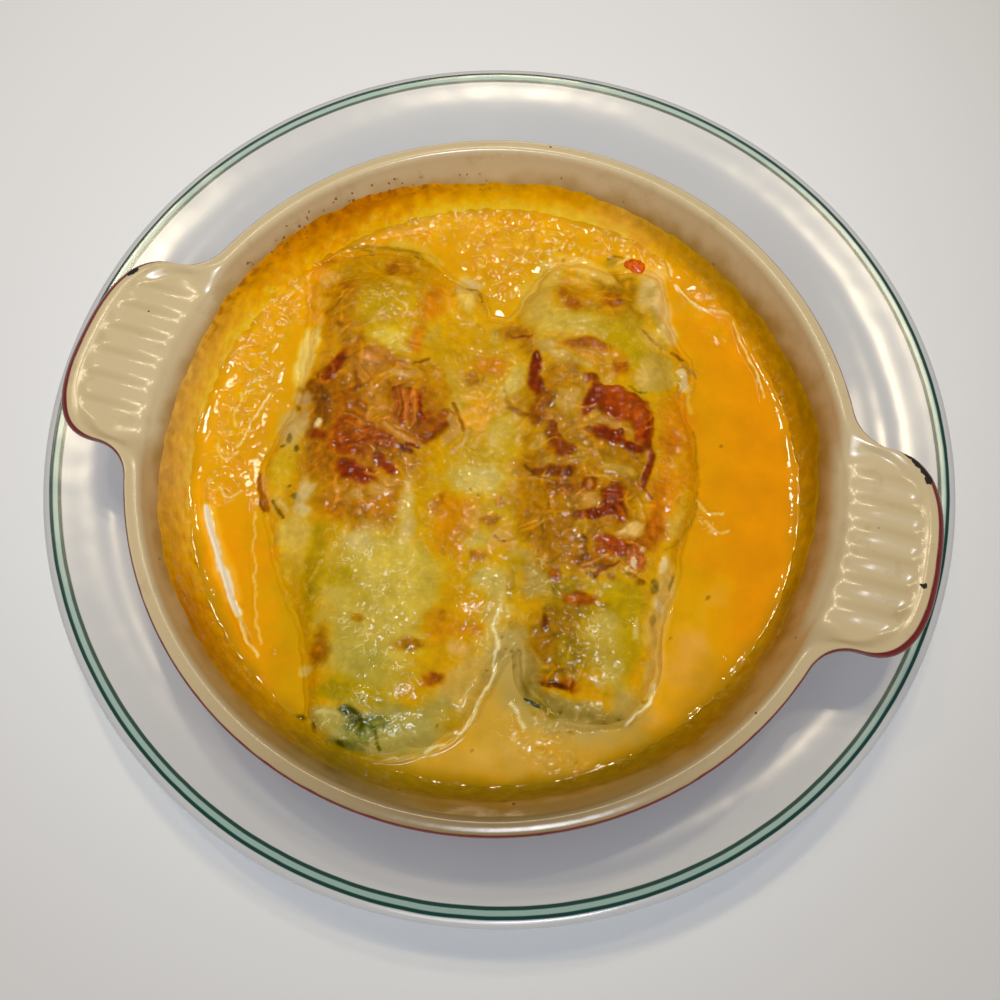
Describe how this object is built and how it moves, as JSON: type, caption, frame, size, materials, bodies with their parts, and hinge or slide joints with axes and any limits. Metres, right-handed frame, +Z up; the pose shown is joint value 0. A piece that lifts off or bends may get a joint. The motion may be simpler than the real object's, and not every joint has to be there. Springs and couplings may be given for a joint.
{
  "type": "cannelloni in a gratin dish on a plate",
  "caption": "Filled pasta rolls under browned melted cheese in cream sauce, baked in a round eared gratin dish that stands on its plate.",
  "frame": {"origin": "on the table, at the middle of the plate's foot", "axes": "+Z up; the gratin dish's two ears lie along X; the far ends of the rolls point to +Y"},
  "size_m": [0.27, 0.27, 0.0503],
  "materials": {
    "porcelain": "white glazed porcelain with two thin dark green rings round a mint band",
    "cream_enamel": "glossy enamel over cast iron, cream inside and dark red outside",
    "cream_sauce": "glossy orange-yellow cream and tomato sauce with an oily film",
    "pasta": "soft cooked pasta sheet, pale yellow-green",
    "spinach_filling": "moist spinach and soft cheese, dark green in grey-white",
    "melted_cheese": "melted cheese, pale yellow-green, browned in patches, oily gloss"
  },
  "bodies": {
    "root": {"plate": "porcelain", "gratin_dish": "cream_enamel", "sauce": "cream_sauce", "pasta_left": "pasta", "filling_left": "spinach_filling", "pasta_right": "pasta", "filling_right": "spinach_filling", "melted_cheese": "melted_cheese"}
  },
  "joints": []
}
